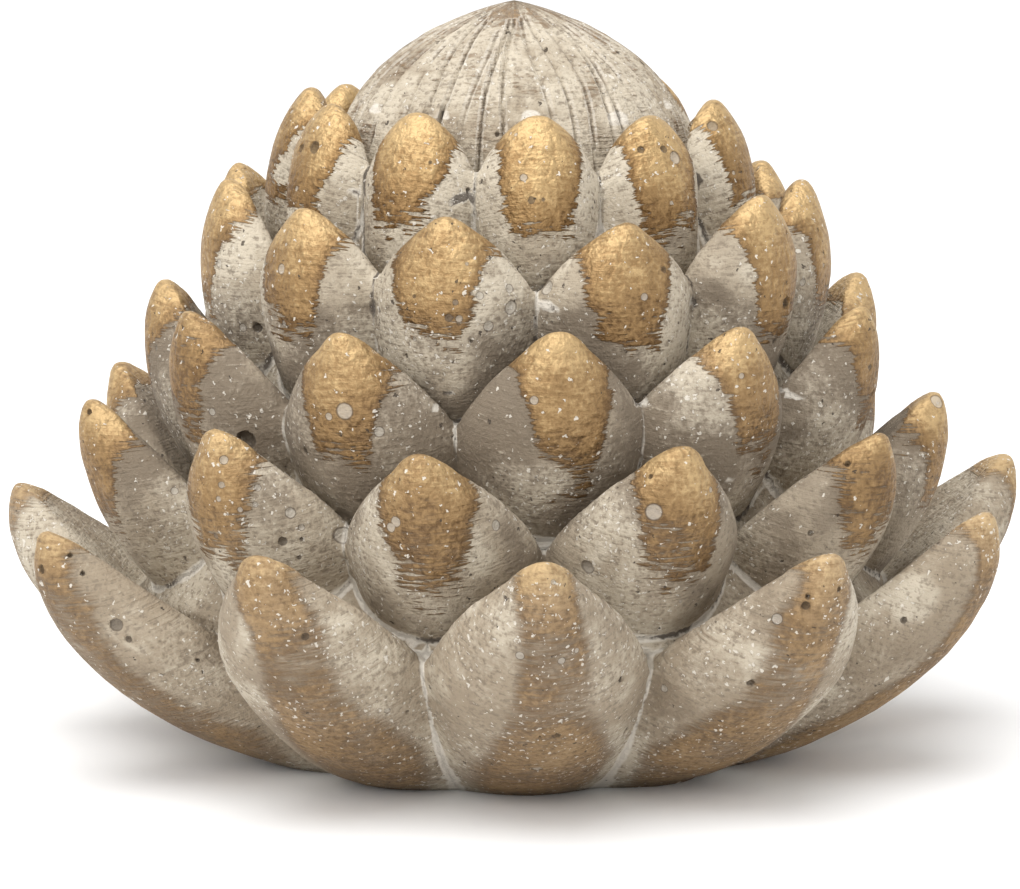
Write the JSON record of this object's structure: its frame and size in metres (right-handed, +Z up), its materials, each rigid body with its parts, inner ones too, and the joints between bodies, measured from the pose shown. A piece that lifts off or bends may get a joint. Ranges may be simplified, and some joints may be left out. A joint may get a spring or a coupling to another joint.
{
  "type": "artichoke ornament",
  "caption": "Solid cast-cement artichoke table ornament: staggered rings of pointed leaves around a finely fluted dome, brushed with dull gold, standing on a flat underside.",
  "frame": {"origin": "middle of the underside, on the plane it stands on, under the top of the dome", "axes": "+Z up through the top of the dome, -Y towards the front of the ornament, +X to its right as seen from the front"},
  "size_m": [0.2042, 0.2022, 0.149],
  "materials": {
    "cement": "matte fine cement brushed with dull gold paint on the leaf faces"
  },
  "bodies": {
    "root": {"artichoke": "cement"}
  },
  "joints": []
}
